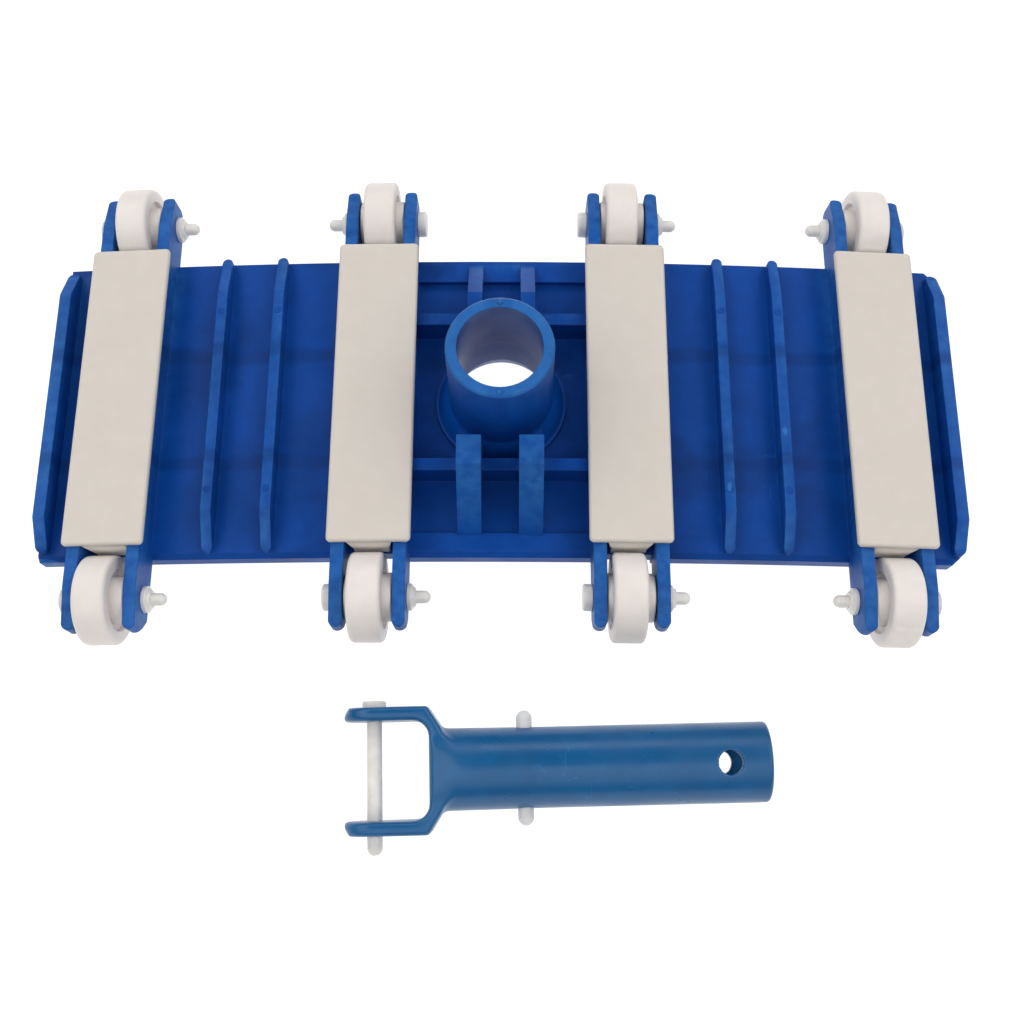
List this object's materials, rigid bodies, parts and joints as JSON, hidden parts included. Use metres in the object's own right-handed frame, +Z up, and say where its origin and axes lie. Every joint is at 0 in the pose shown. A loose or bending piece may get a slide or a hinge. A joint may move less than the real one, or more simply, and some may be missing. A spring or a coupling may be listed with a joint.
{
  "type": "manual pool vacuum head",
  "caption": "Flexible pool vacuum head with ballast weights, wheels and a hose port; its forked pole handle with pin and snap clip lies beside it.",
  "frame": {"origin": "bottom centre of the box round the whole set, on the floor", "axes": "+X to the right along the arched plate, +Y to the rear away from the loose handle, +Z up along the hose port"},
  "size_m": [0.3512, 0.2628, 0.0727],
  "materials": {
    "plate_blue": "satin moulded",
    "weight_cream": "thick matte coating over a ballast casting",
    "wheel_ivory": "matte moulded",
    "pin_white": "translucent moulded nylon",
    "handle_blue": "semi-gloss moulded",
    "clip_white": "moulded acetal"
  },
  "bodies": {
    "head": {"base_plate": "plate_blue", "weight_outer_left": "weight_cream", "weight_inner_left": "weight_cream", "weight_inner_right": "weight_cream", "weight_outer_right": "weight_cream", "axle_pin_rear_outer_left": "pin_white", "axle_pin_rear_inner_left": "pin_white", "axle_pin_rear_inner_right": "pin_white", "axle_pin_rear_outer_right": "pin_white", "axle_pin_front_outer_left": "pin_white", "axle_pin_front_inner_left": "pin_white", "axle_pin_front_inner_right": "pin_white", "axle_pin_front_outer_right": "pin_white", "axle_cap_rear_outer_left": "pin_white", "axle_cap_rear_inner_left": "pin_white", "axle_cap_rear_inner_right": "pin_white", "axle_cap_rear_outer_right": "pin_white", "axle_cap_front_outer_left": "pin_white", "axle_cap_front_inner_left": "pin_white", "axle_cap_front_inner_right": "pin_white", "axle_cap_front_outer_right": "pin_white"},
    "wheel_rear_outer_left": {"wheel_rear_outer_left": "wheel_ivory"},
    "wheel_rear_inner_left": {"wheel_rear_inner_left": "wheel_ivory"},
    "wheel_rear_inner_right": {"wheel_rear_inner_right": "wheel_ivory"},
    "wheel_rear_outer_right": {"wheel_rear_outer_right": "wheel_ivory"},
    "wheel_front_outer_left": {"wheel_front_outer_left": "wheel_ivory"},
    "wheel_front_inner_left": {"wheel_front_inner_left": "wheel_ivory"},
    "wheel_front_inner_right": {"wheel_front_inner_right": "wheel_ivory"},
    "wheel_front_outer_right": {"wheel_front_outer_right": "wheel_ivory"},
    "handle": {"handle": "handle_blue", "clip_bend": "clip_white"},
    "fork_pin": {"fork_pin": "pin_white"},
    "button_rear": {"clip_button_rear": "clip_white"},
    "button_front": {"clip_button_front": "clip_white"}
  },
  "joints": [
    {"name": "wheel_rear_outer_left_spin", "type": "hinge", "parent": "head", "child": "wheel_rear_outer_left", "pos_m": [-0.14505, 0.11485, 0.01693], "axis": [0.9963, 0, 0.0855], "continuous": true},
    {"name": "wheel_rear_inner_left_spin", "type": "hinge", "parent": "head", "child": "wheel_rear_inner_left", "pos_m": [-0.04754, 0.11485, 0.02248], "axis": [0.9996, 0, 0.028], "continuous": true},
    {"name": "wheel_rear_inner_right_spin", "type": "hinge", "parent": "head", "child": "wheel_rear_inner_right", "pos_m": [0.04754, 0.11485, 0.02248], "axis": [0.9996, 0, -0.028], "continuous": true},
    {"name": "wheel_rear_outer_right_spin", "type": "hinge", "parent": "head", "child": "wheel_rear_outer_right", "pos_m": [0.14505, 0.11485, 0.01693], "axis": [0.9963, 0, -0.0855], "continuous": true},
    {"name": "wheel_front_outer_left_spin", "type": "hinge", "parent": "head", "child": "wheel_front_outer_left", "pos_m": [-0.14505, -0.04035, 0.01693], "axis": [0.9963, 0, 0.0855], "continuous": true},
    {"name": "wheel_front_inner_left_spin", "type": "hinge", "parent": "head", "child": "wheel_front_inner_left", "pos_m": [-0.04754, -0.04035, 0.02248], "axis": [0.9996, 0, 0.028], "continuous": true},
    {"name": "wheel_front_inner_right_spin", "type": "hinge", "parent": "head", "child": "wheel_front_inner_right", "pos_m": [0.04754, -0.04035, 0.02248], "axis": [0.9996, 0, -0.028], "continuous": true},
    {"name": "wheel_front_outer_right_spin", "type": "hinge", "parent": "head", "child": "wheel_front_outer_right", "pos_m": [0.14505, -0.04035, 0.01693], "axis": [0.9963, 0, -0.0855], "continuous": true},
    {"name": "handle_swing", "type": "hinge", "parent": "head", "child": "handle", "pos_m": [-0.0444, -0.10235, 0.01425], "axis": [0.0276, -0.9899, -0.1392], "range_deg": [0, 85]},
    {"name": "fork_pin_slide", "type": "slide", "parent": "handle", "child": "fork_pin", "axis": [-0.0276, 0.9899, 0.1392], "range_m": [0, 0.018]},
    {"name": "button_rear_press", "type": "slide", "parent": "handle", "child": "button_rear", "axis": [0.0276, -0.9899, -0.1392], "range_m": [0, 0.0058], "stiffness_N_per_m": 1500},
    {"name": "button_front_press", "type": "slide", "parent": "handle", "child": "button_front", "axis": [-0.0276, 0.9899, 0.1392], "range_m": [0, 0.0058], "stiffness_N_per_m": 1500}
  ]
}
